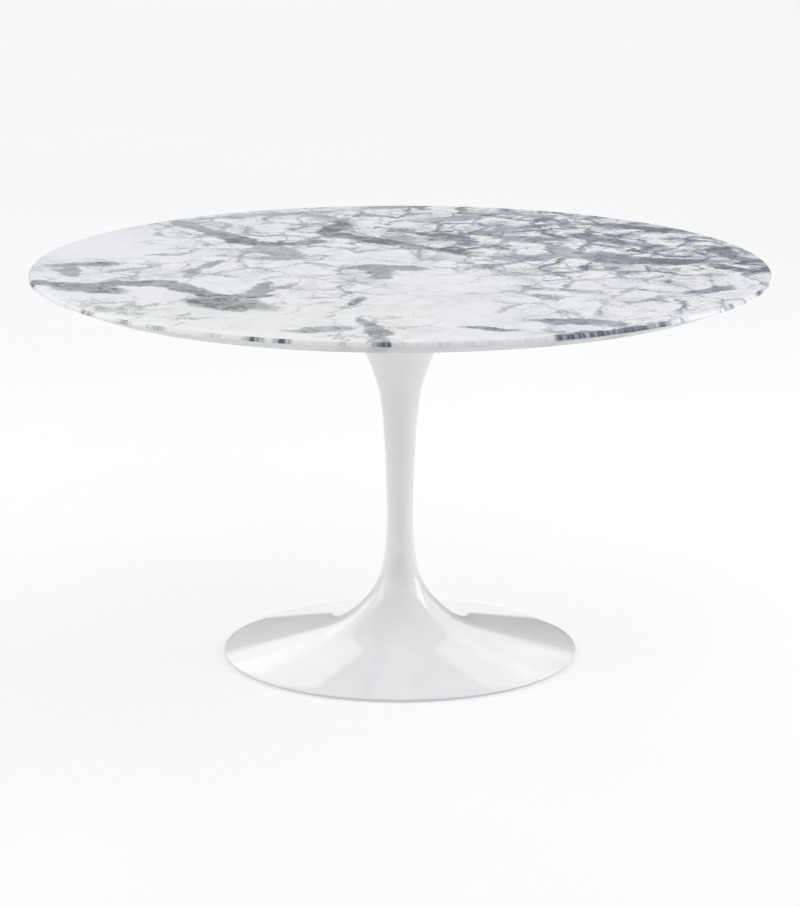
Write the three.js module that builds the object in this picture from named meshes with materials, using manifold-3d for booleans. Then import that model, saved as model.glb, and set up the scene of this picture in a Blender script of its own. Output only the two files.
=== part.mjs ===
// Round pedestal table. A round stone slab is screwed to a steel mounting plate, and one long rod
// through the hollow cast pedestal draws the pedestal up against the slab. The pedestal stands on
// four levelling glides under its skirt.
// Millimetres, +Z up. The origin is on the floor, under the middle of the top.

import * as THREE from "three";
import { mergeVertices } from "three/addons/utils/BufferGeometryUtils.js";
import Module from "manifold-3d";

const manifold = await Module();
manifold.setup();

// Overall sizes.
const TABLE_HEIGHT = 740;
const TOP_DIAMETER = 1372;
const BASE_DIAMETER = 667;

// Stone slab: a rounded upper edge over a long undercut bevel.
const SLAB_THICKNESS = 30;
const EDGE_ROUND = 7.5;
const BEVEL_RUN = 55;

// Pedestal casting. Leans are degrees from plumb, the skirt's slope is degrees from level.
const CAST_WALL = 8;
const LIP_RADIUS = 150;
const LIP_EDGE = 2.5;
const LIP_LEAN = 66;
const NECK_RADIUS = 38.7;
const NECK_DROP = 203.5;
const NECK_LEAN = 11.4;
const WAIST_RADIUS = 24.6;
const WAIST_RISE = 154;
const FOOT_RADIUS = 61;
const FOOT_RISE = 66;
const FOOT_LEAN = 41.5;
const SKIRT_RADIUS = 175.5;
const SKIRT_SLOPE = 12.8;
const RIM_ROUND = 1.6;
const RIM_GAP = 4.2;
const WEB_RISE = 41;
const WEB_THICKNESS = 12;

// Mounting plate and the screws that hold it to the slab.
const GASKET_THICKNESS = 1.5;
const GASKET_MARGIN = 1.5;
const PLATE_THICKNESS = 8;
const HUB_WALL = 14;
const HUB_LENGTH = 22;
const SCREW_COUNT = 6;
const SCREW_EDGE = 22; // in from the plate's edge
const SCREW_DIAMETER = 8;
const SCREW_REACH = 16;
const SCREW_HEAD_HEIGHT = 5.3;
const SCREW_HEAD_FLATS = 13;
const INSERT_WALL = 1.85;
const INSERT_LENGTH = 18;
const WASHER_DIAMETER = 17;
const WASHER_THICKNESS = 1.6;

// Tie rod and its nuts.
const ROD_DIAMETER = 16;
const ROD_TAIL = 6;
const ROD_CHAMFER = 1.5;
const NUT_WALL = 4;
const NUT_HEIGHT = 13;
const BASE_WASHER_DIAMETER = 64;
const BASE_WASHER_THICKNESS = 6;
const SPRING_WASHER_WIDTH = 5;
const SPRING_WASHER_THICKNESS = 3.5;
const SPRING_WASHER_SPLIT = 14;

// Levelling glides.
const GLIDE_INSET = 83.5; // in from the rim
const BOSS_WALL = 9;
const BOSS_HEIGHT = 8;
const STUD_DIAMETER = 8;
const STUD_DEPTH = 11.5;
const COLLAR_FLATS = 13;
const PAD_DIAMETER = 28;
const PAD_HEIGHT = 5;
const PAD_FLOOR = 2;
const PAD_ROUND = 1.2;
const BALL_LEDGE = 0.8; // how far the stud's ball stands out past its thread

// Clearances.
const SEAT_GAP = 0.05; // between faces that rest on each other
const THREAD_GAP = 0.15; // between a thread and its nut, all round
const BOLT_GAP = 0.75; // round a bolt in a plain hole
const GLUE_GAP = 0.3; // resin round and behind an insert
const PLATE_GAP = 3; // between the plate's edge and the casting
const TURN_GAP = 0.2; // where one piece turns on another
const BORE_TIP = 1; // free bore past the end of a screw or stud

// Straight sides that stand for each round, and straight steps for each stretch of a curve.
const SLAB_SIDES = 72;
const PEDESTAL_SIDES = 60;
const PLATE_SIDES = 36;
const SMALL_SIDES = 16;
const CURVE_STEPS = 6;

// Heights that several pieces share.
const slabUnderside = TABLE_HEIGHT - SLAB_THICKNESS;
const plateTop = slabUnderside - SEAT_GAP;
const plateUnderside = plateTop - PLATE_THICKNESS;
const hubEnd = plateUnderside - HUB_LENGTH;
const gasketTop = slabUnderside - SEAT_GAP;
const lipTop = gasketTop - GASKET_THICKNESS - SEAT_GAP;

const rimCentre = new THREE.Vector2(BASE_DIAMETER / 2 - RIM_ROUND, RIM_GAP + RIM_ROUND);
const slope = THREE.MathUtils.degToRad(SKIRT_SLOPE);
const skirtEnd = new THREE.Vector2(
  rimCentre.x + RIM_ROUND * Math.sin(slope),
  rimCentre.y + RIM_ROUND * Math.cos(slope),
);
const skirtTop = skirtHeight(SKIRT_RADIUS);
const footHeight = skirtTop + FOOT_RISE;
const webUnderside = skirtTop + WEB_RISE;
const webTop = webUnderside + WEB_THICKNESS;
const glideCircleRadius = BASE_DIAMETER / 2 - GLIDE_INSET;
const bossRadius = STUD_DIAMETER / 2 + BOSS_WALL;
const ballRadius = STUD_DIAMETER / 2 + BALL_LEDGE;
const insertRadius = SCREW_DIAMETER / 2 + THREAD_GAP + INSERT_WALL;

// The casting's inner face, and the plate that fits inside its mouth.
const insideLine = castingLine(CAST_WALL);
const plateRadius = radiusAt(insideLine, plateUnderside) - PLATE_GAP;
const screwCircleRadius = plateRadius - SCREW_EDGE;

const marble = new THREE.MeshStandardMaterial({ color: 0xe4e6e9, roughness: 0.35, metalness: 0 });
const whiteEnamel = new THREE.MeshStandardMaterial({ color: 0xf0f0ef, roughness: 0.15, metalness: 0 });
const zincSteel = new THREE.MeshStandardMaterial({ color: 0xa9adb0, roughness: 0.35, metalness: 1 });
const brass = new THREE.MeshStandardMaterial({ color: 0xc39a4a, roughness: 0.35, metalness: 1 });
const darkRubber = new THREE.MeshStandardMaterial({ color: 0x2b2b2c, roughness: 0.8, metalness: 0 });
const greyNylon = new THREE.MeshStandardMaterial({ color: 0x3a3b3c, roughness: 0.55, metalness: 0 });

// ---- Solids ----

// The solid that a profile of [radius, height] points sweeps round the Z axis.
function turned(profile, sides) {
  const points = profile.map(([radius, height]) => new THREE.Vector2(radius, height));
  return new THREE.LatheGeometry(points, sides).rotateX(Math.PI / 2);
}

function ring(innerRadius, outerRadius, low, high, sides) {
  const profile = [
    [innerRadius, low],
    [outerRadius, low],
    [outerRadius, high],
    [innerRadius, high],
    [innerRadius, low],
  ];
  return turned(profile, sides);
}

function cylinder(radius, low, high, sides) {
  return new THREE.CylinderGeometry(radius, radius, high - low, sides)
    .rotateX(Math.PI / 2)
    .translate(0, 0, (low + high) / 2);
}

function hexagon(flats, low, high) {
  return cylinder(flats / 2 / Math.cos(Math.PI / 6), low, high, 6);
}

function toSolid(geometry) {
  const bare = geometry.clone();
  bare.deleteAttribute("normal");
  bare.deleteAttribute("uv");
  const merged = mergeVertices(bare, 1e-3);
  const mesh = new manifold.Mesh({
    numProp: 3,
    vertProperties: new Float32Array(merged.attributes.position.array),
    triVerts: new Uint32Array(merged.index.array),
  });
  return new manifold.Manifold(mesh);
}

function toGeometry(solid) {
  const mesh = solid.getMesh();
  const geometry = new THREE.BufferGeometry();
  geometry.setAttribute("position", new THREE.BufferAttribute(new Float32Array(mesh.vertProperties), 3));
  geometry.setIndex(new THREE.BufferAttribute(new Uint32Array(mesh.triVerts), 1));
  geometry.computeVertexNormals();
  return geometry;
}

// One geometry with others joined to it and then others cut from it.
function shaped(body, joined, cut) {
  let solid = toSolid(body);
  for (const piece of joined) solid = solid.add(toSolid(piece));
  for (const piece of cut) solid = solid.subtract(toSolid(piece));
  return toGeometry(solid);
}

// Places spread evenly round a circle, the first half a step from the X axis.
function aroundCircle(radius, count) {
  const places = [];
  for (let i = 0; i < count; i += 1) {
    const angle = ((i + 0.5) / count) * 2 * Math.PI;
    places.push(new THREE.Vector3(radius * Math.cos(angle), radius * Math.sin(angle), 0));
  }
  return places;
}

// ---- Stone slab ----

function slabOutline() {
  const edgeRadius = TOP_DIAMETER / 2;
  const underside = [
    [0, slabUnderside],
    [edgeRadius - BEVEL_RUN, slabUnderside],
  ];
  const rounded = [];
  const steps = 4;
  for (let i = 0; i <= steps; i += 1) {
    const angle = (i / steps) * (Math.PI / 2);
    const radius = edgeRadius - EDGE_ROUND + EDGE_ROUND * Math.cos(angle);
    rounded.push([radius, TABLE_HEIGHT - EDGE_ROUND + EDGE_ROUND * Math.sin(angle)]);
  }
  return [...underside, ...rounded, [0, TABLE_HEIGHT]];
}

function insertHole() {
  return cylinder(insertRadius + GLUE_GAP, -1, INSERT_LENGTH + GLUE_GAP, SMALL_SIDES);
}

function marbleTop() {
  const holes = aroundCircle(screwCircleRadius, SCREW_COUNT).map((place) =>
    insertHole().translate(place.x, place.y, slabUnderside),
  );
  return shaped(turned(slabOutline(), SLAB_SIDES), [], holes);
}

// ---- Fixings between slab and plate, measured up from the slab's underside ----

function threadedInsert() {
  const bore = SCREW_DIAMETER / 2 + THREAD_GAP;
  return ring(bore, insertRadius, 0, INSERT_LENGTH, SMALL_SIDES);
}

function plateWasher() {
  const top = plateUnderside - SEAT_GAP - slabUnderside;
  const bore = SCREW_DIAMETER / 2 + BOLT_GAP / 2;
  return ring(bore, WASHER_DIAMETER / 2, top - WASHER_THICKNESS, top, SMALL_SIDES);
}

function plateScrew() {
  const headTop = plateUnderside - 2 * SEAT_GAP - WASHER_THICKNESS - slabUnderside;
  const head = hexagon(SCREW_HEAD_FLATS, headTop - SCREW_HEAD_HEIGHT, headTop);
  const shank = cylinder(SCREW_DIAMETER / 2, headTop - 1, SCREW_REACH, SMALL_SIDES);
  return shaped(head, [shank], []);
}

// ---- Pedestal ----

// Height of the straight skirt's outer face at a radius.
function skirtHeight(radius) {
  return skirtEnd.y + (skirtEnd.x - radius) * Math.tan(slope);
}

// The outline's stations from the lip down: where it passes, how far it leans outwards as it
// goes down, and how strongly each side of it pulls the curve straight.
function stations() {
  const lip = lipTop - LIP_EDGE;
  return [
    { radius: LIP_RADIUS, height: lip, lean: -LIP_LEAN, above: 0, below: 40 },
    { radius: NECK_RADIUS, height: lip - NECK_DROP, lean: -NECK_LEAN, above: 60, below: 56 },
    { radius: WAIST_RADIUS, height: footHeight + WAIST_RISE, lean: 0, above: 24, below: 51 },
    { radius: FOOT_RADIUS, height: footHeight, lean: FOOT_LEAN, above: 47, below: 68 },
    { radius: SKIRT_RADIUS, height: skirtTop, lean: 90 - SKIRT_SLOPE, above: 48.5, below: 0 },
  ];
}

function curveBetween(upper, lower) {
  const start = new THREE.Vector2(upper.radius, upper.height);
  const end = new THREE.Vector2(lower.radius, lower.height);
  const down = ({ lean }) => {
    const angle = THREE.MathUtils.degToRad(lean);
    return new THREE.Vector2(Math.sin(angle), -Math.cos(angle));
  };
  const leaving = down(upper).multiplyScalar(upper.below).add(start);
  const arriving = down(lower).multiplyScalar(-lower.above).add(end);
  return new THREE.CubicBezierCurve(start, leaving, arriving, end);
}

// Points down the casting at a depth under its outer face, from the lip to the top of the skirt.
function castingLine(depth) {
  const line = [];
  const route = stations();
  for (let i = 1; i < route.length; i += 1) {
    const curve = curveBetween(route[i - 1], route[i]);
    for (let k = i === 1 ? 0 : 1; k <= CURVE_STEPS; k += 1) {
      const point = curve.getPoint(k / CURVE_STEPS);
      const way = curve.getTangent(k / CURVE_STEPS);
      line.push([point.x + depth * way.y, point.y - depth * way.x]);
    }
  }
  return line;
}

// Radius at which a line of points that runs downwards passes a height.
function radiusAt(line, height) {
  const next = line.findIndex((point) => point[1] <= height);
  const [upper, lower] = [line[next - 1], line[next]];
  const share = (upper[1] - height) / (upper[1] - lower[1]);
  return upper[0] + share * (lower[0] - upper[0]);
}

function rimOutline() {
  const start = Math.PI / 2 - slope;
  const angles = [start, start / 2, 0, -Math.PI / 4, -Math.PI / 2];
  return angles.map((angle) => [
    rimCentre.x + RIM_ROUND * Math.cos(angle),
    rimCentre.y + RIM_ROUND * Math.sin(angle),
  ]);
}

function pedestalOutline() {
  const outside = castingLine(0);
  const cavity = insideLine.filter((point) => point[1] < lipTop && point[1] > webTop);
  const hollow = insideLine.filter((point) => point[1] < webUnderside);
  const wallUpright = CAST_WALL / Math.cos(slope);
  const rimInside = skirtEnd.x - (RIM_GAP + wallUpright - skirtEnd.y) / Math.tan(slope);
  const rodHole = ROD_DIAMETER / 2 + BOLT_GAP;
  return [
    [LIP_RADIUS, lipTop],
    ...outside,
    ...rimOutline(),
    [rimInside, RIM_GAP],
    ...hollow.reverse(),
    [radiusAt(insideLine, webUnderside), webUnderside],
    [rodHole, webUnderside],
    [rodHole, webTop],
    [radiusAt(insideLine, webTop), webTop],
    ...cavity.reverse(),
    [radiusAt(insideLine, lipTop), lipTop],
    [LIP_RADIUS, lipTop],
  ].reverse();
}

function pedestal() {
  const bossTop = skirtHeight(glideCircleRadius + bossRadius) - 1;
  const boreTop = BOSS_HEIGHT + STUD_DEPTH + BORE_TIP;
  const bosses = [];
  const bores = [];
  for (const place of aroundCircle(glideCircleRadius, 4)) {
    const boss = cylinder(bossRadius, BOSS_HEIGHT, bossTop, SMALL_SIDES);
    const bore = cylinder(STUD_DIAMETER / 2 + THREAD_GAP, BOSS_HEIGHT - 1, boreTop, SMALL_SIDES);
    bosses.push(boss.translate(place.x, place.y, 0));
    bores.push(bore.translate(place.x, place.y, 0));
  }
  return shaped(turned(pedestalOutline(), PEDESTAL_SIDES), bosses, bores);
}

// ---- Plate, gasket and clamp ----

function pedestalGasket() {
  const inner = radiusAt(insideLine, lipTop) + GASKET_MARGIN;
  const outer = LIP_RADIUS - GASKET_MARGIN;
  return ring(inner, outer, gasketTop - GASKET_THICKNESS, gasketTop, PEDESTAL_SIDES);
}

function mountingPlate() {
  const bore = ROD_DIAMETER / 2 + THREAD_GAP;
  const hubRadius = ROD_DIAMETER / 2 + HUB_WALL;
  const profile = [
    [bore, hubEnd],
    [hubRadius, hubEnd],
    [hubRadius, plateUnderside],
    [plateRadius, plateUnderside],
    [plateRadius, plateTop],
    [bore, plateTop],
    [bore, hubEnd],
  ];
  const holes = aroundCircle(screwCircleRadius, SCREW_COUNT).map((place) => {
    const hole = cylinder(SCREW_DIAMETER / 2 + BOLT_GAP, plateUnderside - 1, plateTop + 1, SMALL_SIDES);
    return hole.translate(place.x, place.y, 0);
  });
  return shaped(turned(profile, PLATE_SIDES), [], holes);
}

function nut(low) {
  const bore = cylinder(ROD_DIAMETER / 2 + THREAD_GAP, low - 1, low + NUT_HEIGHT + 1, PLATE_SIDES);
  return shaped(hexagon(ROD_DIAMETER + 2 * NUT_WALL, low, low + NUT_HEIGHT), [], [bore]);
}

const baseWasherLow = webUnderside - SEAT_GAP - BASE_WASHER_THICKNESS;
const springWasherLow = baseWasherLow - SEAT_GAP - SPRING_WASHER_THICKNESS;
const rodNutLow = springWasherLow - SEAT_GAP - NUT_HEIGHT;
const lockNutLow = hubEnd - SEAT_GAP - NUT_HEIGHT;

function tieRod() {
  const radius = ROD_DIAMETER / 2;
  const low = rodNutLow - ROD_TAIL;
  const high = plateTop - ROD_CHAMFER;
  const profile = [
    [0, low],
    [radius - ROD_CHAMFER, low],
    [radius, low + ROD_CHAMFER],
    [radius, high - ROD_CHAMFER],
    [radius - ROD_CHAMFER, high],
    [0, high],
  ];
  return turned(profile, PLATE_SIDES);
}

function baseWasher() {
  const bore = ROD_DIAMETER / 2 + BOLT_GAP;
  const high = baseWasherLow + BASE_WASHER_THICKNESS;
  return ring(bore, BASE_WASHER_DIAMETER / 2, baseWasherLow, high, PLATE_SIDES);
}

// A split ring: its ends stand apart, as a spring washer's do.
function springWasher() {
  const half = THREE.MathUtils.degToRad(SPRING_WASHER_SPLIT / 2);
  const shape = new THREE.Shape();
  const inner = ROD_DIAMETER / 2 + BOLT_GAP / 2;
  shape.absarc(0, 0, inner + SPRING_WASHER_WIDTH, half, 2 * Math.PI - half, false);
  shape.absarc(0, 0, inner, 2 * Math.PI - half, half, true);
  const settings = { depth: SPRING_WASHER_THICKNESS, bevelEnabled: false, curveSegments: 14 };
  return new THREE.ExtrudeGeometry(shape, settings).translate(0, 0, springWasherLow);
}

// ---- Levelling glides, measured up from the floor ----

function glidePad() {
  const radius = PAD_DIAMETER / 2;
  const socket = ballRadius + TURN_GAP;
  const profile = [
    [0, 0],
    [radius - PAD_ROUND, 0],
    [radius, PAD_ROUND],
    [radius, PAD_HEIGHT - PAD_ROUND],
    [radius - PAD_ROUND, PAD_HEIGHT],
    [socket, PAD_HEIGHT],
    [socket, PAD_FLOOR],
    [0, PAD_FLOOR],
  ];
  return turned(profile, SMALL_SIDES);
}

function glideStud() {
  const ballLow = PAD_FLOOR + TURN_GAP;
  const collarLow = PAD_HEIGHT + TURN_GAP;
  const collarHigh = BOSS_HEIGHT - TURN_GAP;
  const ball = cylinder(ballRadius, ballLow, collarLow + 1, SMALL_SIDES);
  const collar = hexagon(COLLAR_FLATS, collarLow, collarHigh);
  const thread = cylinder(STUD_DIAMETER / 2, collarLow + 1, BOSS_HEIGHT + STUD_DEPTH, SMALL_SIDES);
  return shaped(collar, [ball, thread], []);
}

// ---- Assembly ----

function piece(name, geometry, material) {
  const mesh = new THREE.Mesh(geometry, material);
  mesh.name = name;
  return mesh;
}

const table = new THREE.Group();
table.add(
  piece("marble_top", marbleTop(), marble),
  piece("pedestal_gasket", pedestalGasket(), darkRubber),
  piece("mounting_plate", mountingPlate(), zincSteel),
  piece("rod_lock_nut", nut(lockNutLow), zincSteel),
  piece("tie_rod", tieRod(), zincSteel),
  piece("pedestal", pedestal(), whiteEnamel),
  piece("base_washer", baseWasher(), zincSteel),
  piece("spring_washer", springWasher(), zincSteel),
  piece("rod_nut", nut(rodNutLow), zincSteel),
);

aroundCircle(screwCircleRadius, SCREW_COUNT).forEach((place, i) => {
  const fixing = new THREE.Group();
  fixing.position.set(place.x, place.y, slabUnderside);
  fixing.add(
    piece(`insert_${i + 1}`, threadedInsert(), brass),
    piece(`plate_washer_${i + 1}`, plateWasher(), zincSteel),
    piece(`plate_screw_${i + 1}`, plateScrew(), zincSteel),
  );
  table.add(fixing);
});

const corners = ["back_right", "back_left", "front_left", "front_right"];
aroundCircle(glideCircleRadius, corners.length).forEach((place, i) => {
  const glide = new THREE.Group();
  glide.position.copy(place);
  glide.add(
    piece(`glide_pad_${corners[i]}`, glidePad(), greyNylon),
    piece(`glide_stud_${corners[i]}`, glideStud(), zincSteel),
  );
  table.add(glide);
});

export default table;
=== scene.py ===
import math

import bpy
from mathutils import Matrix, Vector


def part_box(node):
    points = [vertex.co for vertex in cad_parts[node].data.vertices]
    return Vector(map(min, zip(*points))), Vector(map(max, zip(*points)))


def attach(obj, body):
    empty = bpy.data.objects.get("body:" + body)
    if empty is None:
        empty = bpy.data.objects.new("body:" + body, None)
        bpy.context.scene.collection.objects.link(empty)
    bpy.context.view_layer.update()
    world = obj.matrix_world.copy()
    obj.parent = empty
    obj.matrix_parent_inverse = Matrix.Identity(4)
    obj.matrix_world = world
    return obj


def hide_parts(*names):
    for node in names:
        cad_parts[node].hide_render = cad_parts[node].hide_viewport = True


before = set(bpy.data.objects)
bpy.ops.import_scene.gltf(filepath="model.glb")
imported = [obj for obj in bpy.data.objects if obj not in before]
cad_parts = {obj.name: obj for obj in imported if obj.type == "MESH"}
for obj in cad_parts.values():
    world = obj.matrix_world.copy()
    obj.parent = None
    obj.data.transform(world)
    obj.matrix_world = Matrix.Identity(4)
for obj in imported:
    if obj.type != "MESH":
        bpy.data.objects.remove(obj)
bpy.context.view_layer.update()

# ---------------------------------------------------------------------------------------------
# Viewpoint. A long lens at standing eye height, straight in front of the table, looking down on
# the top just enough to see all of it and the whole of the round foot.
EYE = (0.0, -6.5157, 1.9553)
EYE_TILT = math.radians(76.443)
LENS = 141.74
SENSOR = 36.0
FARTHEST = 200.0

bpy.ops.object.camera_add(location=EYE, rotation=(EYE_TILT, 0.0, 0.0))
camera = bpy.context.object
camera.name = "eye"
camera.data.lens = LENS
camera.data.sensor_width = SENSOR
camera.data.clip_end = FARTHEST
bpy.context.scene.camera = camera
bpy.context.scene.view_settings.view_transform = "Standard"


# ---------------------------------------------------------------------------------------------
# Floor and light. A seamless white studio floor in a bright room: a band of windows runs round
# it above a darker wall at the back, and ends at a dark wall in front. One large soft lamp
# stands on either side of the table.
class Value:
    """A number that varies over a surface. Sums and products of values add their Math nodes."""

    def __init__(self, finish, socket):
        self.finish = finish
        self.socket = socket

    def maths(self, operation, first, second, clamp=False):
        settings = {"operation": operation, "use_clamp": clamp}
        return self.finish.node("ShaderNodeMath", settings, {0: first, 1: second})

    def __add__(self, other):
        return self.maths("ADD", self, other)

    def __sub__(self, other):
        return self.maths("SUBTRACT", self, other)

    def __rsub__(self, other):
        return self.maths("SUBTRACT", other, self)

    def __mul__(self, other):
        return self.maths("MULTIPLY", self, other)

    __radd__ = __add__
    __rmul__ = __mul__

    def most(self, other):
        return self.maths("MAXIMUM", self, other)

    def clamped(self):
        return self.maths("ADD", self, 0.0, clamp=True)

    def rising(self, low, high, before=0.0, after=1.0):
        """Before up to low, after from high on, and a soft step between; low may be the larger."""
        sockets = {"Value": self, "From Min": low, "From Max": high, "To Min": before, "To Max": after}
        return self.finish.node("ShaderNodeMapRange", {"interpolation_type": "SMOOTHSTEP"}, sockets)


class Finish:
    """A node tree in the making: one material's, or the world's."""

    def __init__(self, owner):
        owner.use_nodes = True
        self.owner = owner
        self.tree = owner.node_tree
        self.tree.nodes.clear()

    def node(self, kind, settings=None, sockets=None, output=0):
        """Adds a node: first its settings, then the values or links of its sockets."""
        made = self.tree.nodes.new(kind)
        for name, setting in (settings or {}).items():
            if name == "stops":
                self.set_stops(made.color_ramp, setting)
            else:
                setattr(made, name, setting)
        for name, given in (sockets or {}).items():
            if isinstance(given, Value):
                self.tree.links.new(given.socket, made.inputs[name])
            else:
                made.inputs[name].default_value = given
        return Value(self, made.outputs[output]) if len(made.outputs) else made

    def set_stops(self, ramp, stops):
        while len(ramp.elements) < len(stops):
            ramp.elements.new(0.5)
        for element, (position, colour) in zip(ramp.elements, stops):
            element.position = position
            element.color = (*colour, 1.0)

    def vector(self, operation, first, second=(0.0, 0.0, 0.0), output=0, third=(0.0, 0.0, 0.0)):
        sockets = {0: first, 1: second, 2: third}
        return self.node("ShaderNodeVectorMath", {"operation": operation}, sockets, output)

    def noise(self, place, scale, detail=4.0, roughness=0.5, output="Fac"):
        sockets = {"Vector": place, "Scale": scale, "Detail": detail, "Roughness": roughness}
        return self.node("ShaderNodeTexNoise", {}, sockets, output)

    def blend(self, share, first, second):
        """A colour that goes from first to second as share goes from 0 to 1."""
        # A Mix node has sockets for numbers and vectors too; its colours are 6 and 7, and 2 comes out.
        sockets = {"Factor": share, 6: first, 7: second}
        return self.node("ShaderNodeMix", {"data_type": "RGBA"}, sockets, 2)

    def place(self):
        """Metres from the middle of the floor under the table."""
        return self.node("ShaderNodeTexCoord", output="Object")

    def surface(self, **sockets):
        """Ends the tree with a Principled surface; words in sockets have _ for a space."""
        named = {name.replace("_", " "): given for name, given in sockets.items()}
        shader = self.node("ShaderNodeBsdfPrincipled", {}, named)
        self.node("ShaderNodeOutputMaterial", {}, {"Surface": shader})
        return self.owner

    def bump(self, height, distance, strength):
        sockets = {"Height": height, "Distance": distance, "Strength": strength}
        return self.node("ShaderNodeBump", {}, sockets)


FLOOR_SIZE = 60.0
FLOOR_GLOW = 0.30
RIGHT_LAMP = 28.0
LEFT_LAMP = 12.0
LAMP_WIDTH = 1.2
LAMP_HEIGHT = 2.3
LAMP_AIM = (0.0, 0.0, 0.5)

bpy.ops.object.select_all(action="DESELECT")
bpy.ops.mesh.primitive_plane_add(size=FLOOR_SIZE, location=(0.0, 0.0, 0.0))
floor = bpy.context.object
floor.name = "floor"
sweep = Finish(bpy.data.materials.new("studio_floor"))
mottle = sweep.noise(sweep.place(), 0.6).rising(0.3, 0.7)
paint = sweep.blend(mottle, (0.612, 0.612, 0.612, 1.0), (0.632, 0.632, 0.632, 1.0))
white = (1.0, 1.0, 1.0, 1.0)
floor.data.materials.append(
    sweep.surface(Base_Color=paint, Roughness=0.8, Emission_Color=white, Emission_Strength=FLOOR_GLOW)
)

studio = Finish(bpy.data.worlds.new("studio"))
bpy.context.scene.world = studio.owner

# Where a ray goes: to the right, away from the front and up, each from -1 to 1.
direction = studio.node("ShaderNodeTexCoord", output="Generated")
rightward = studio.node("ShaderNodeSeparateXYZ", {}, {0: direction}, "X")
backward = studio.node("ShaderNodeSeparateXYZ", {}, {0: direction}, "Y")
upward = studio.node("ShaderNodeSeparateXYZ", {}, {0: direction}, "Z")
behind = backward.rising(0.2, 0.75)

# The walls, the band of windows between them and the ceiling, and what stands in the windows.
back_wall = upward.rising(0.33, 0.26) * behind
front_wall = upward.rising(0.7, 0.3) * backward.rising(-0.45, -0.85)
front_low = upward.rising(0.24, 0.04) * backward.rising(-0.3, -0.7)
window_ring = upward.rising(0.26, 0.34) * upward.rising(0.82, 0.66) * (1.0 - front_wall)
left_window = rightward.rising(-0.06, -0.12) * upward.rising(0.26, 0.34) * upward.rising(0.72, 0.60) * behind
left_streak = rightward.rising(-0.15, -0.20) * upward.rising(0.38, 0.42) * upward.rising(0.52, 0.48)
right_streak = rightward.rising(0.13, 0.155) * upward.rising(0.485, 0.505) * upward.rising(0.56, 0.54)
strip_width = rightward.rising(0.172, 0.176) * rightward.rising(0.186, 0.182)
right_strip = strip_width * upward.rising(0.3, 0.36) * upward.rising(0.60, 0.54) * behind
right_shade = rightward.rising(0.04, 0.16) * upward.rising(0.62, 0.52) * behind
streaks = left_streak * 0.7 + right_streak * 0.4 + right_strip * 0.35 - right_shade * 0.34
walls = back_wall * 0.52 + front_wall * 0.45 + front_low * 0.12
bright = 0.78 + window_ring * 0.5 + left_window * 0.3 + streaks - walls
tinted = studio.blend(back_wall, (1.0, 1.0, 1.0, 1.0), (0.96, 1.0, 0.975, 1.0))
light = studio.node("ShaderNodeBackground", {}, {"Color": tinted, "Strength": bright})
studio.node("ShaderNodeOutputWorld", {}, {"Surface": light})

for name, place, power in (
    ("right_lamp", (2.7, 0.3, 1.75), RIGHT_LAMP),
    ("left_lamp", (-2.7, 0.2, 1.75), LEFT_LAMP),
):
    bpy.ops.object.light_add(type="AREA", location=place)
    lamp = bpy.context.object
    lamp.name = name
    lamp.data.shape = "RECTANGLE"
    lamp.data.size = LAMP_WIDTH
    lamp.data.size_y = LAMP_HEIGHT
    lamp.data.energy = power
    lamp.rotation_euler = (Vector(LAMP_AIM) - lamp.location).to_track_quat("-Z", "Y").to_euler()

# ---------------------------------------------------------------------------------------------
# Marble top. One round slab, 30 mm thick, sawn from a block of white marble that was crushed and
# healed with grey: pale rounded stones in a network of seams, with broad grey pools. Its upper
# edge is rounded and its underside is cut back by a long bevel, so that it looks thin.
EDGE_ROUND = 0.0075
EDGE_BREAK = 0.0008
EDGE_START = 8.0
BEVEL_RUN = 0.055
BEVEL_EASE_IN = 0.002
BEVEL_EASE_OUT = 0.001
BEVEL_EASE_RISE = 0.0006
UNDERSIDE_RINGS = (0.2, 0.45)
TOP_RINGS = (0.62, 0.4, 0.2)
SLAB_STEPS = 240
INSERTS = 6
GLUE_GAP = 0.0003
DRILL_TIP = 0.0025
DRILL_STEPS = 40


def turned(name, outline, steps):
    """The shape that an outline of (radius, height) points sweeps round the upright axis."""
    # A small plane shrinks to one point, which is drawn along the outline and then spun.
    bpy.ops.object.select_all(action="DESELECT")
    bpy.ops.mesh.primitive_plane_add(size=0.01)
    shape = bpy.context.object
    shape.name = name
    bpy.ops.object.mode_set(mode="EDIT")
    bpy.ops.mesh.select_all(action="SELECT")
    bpy.ops.mesh.merge(type="CENTER")
    bpy.ops.transform.translate(value=(outline[0][0], 0.0, outline[0][1]))
    for (radius, height), (next_radius, next_height) in zip(outline, outline[1:]):
        step = (next_radius - radius, 0.0, next_height - height)
        bpy.ops.mesh.extrude_vertices_move(TRANSFORM_OT_translate={"value": step})
    bpy.ops.mesh.select_all(action="SELECT")
    bpy.ops.mesh.spin(steps=steps, angle=2.0 * math.pi, center=(0.0, 0.0, 0.0), axis=(0.0, 0.0, 1.0))
    bpy.ops.mesh.select_all(action="SELECT")
    bpy.ops.mesh.remove_doubles(threshold=0.00001)
    bpy.ops.mesh.normals_make_consistent(inside=False)
    bpy.ops.object.mode_set(mode="OBJECT")
    return shape


def arc(centre, radius, start, end, steps):
    """Points of (radius, height) round part of a circle, with its angles in degrees from level."""
    points = []
    for i in range(steps + 1):
        angle = math.radians(start + (end - start) * i / steps)
        points.append((centre[0] + radius * math.cos(angle), centre[1] + radius * math.sin(angle)))
    return points


def smooth(shape, degrees=32.0):
    """Shades a shape as smooth, but for its edges sharper than an angle."""
    bpy.ops.object.select_all(action="DESELECT")
    shape.select_set(True)
    bpy.context.view_layer.objects.active = shape
    bpy.ops.object.shade_smooth_by_angle(angle=math.radians(degrees))


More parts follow.
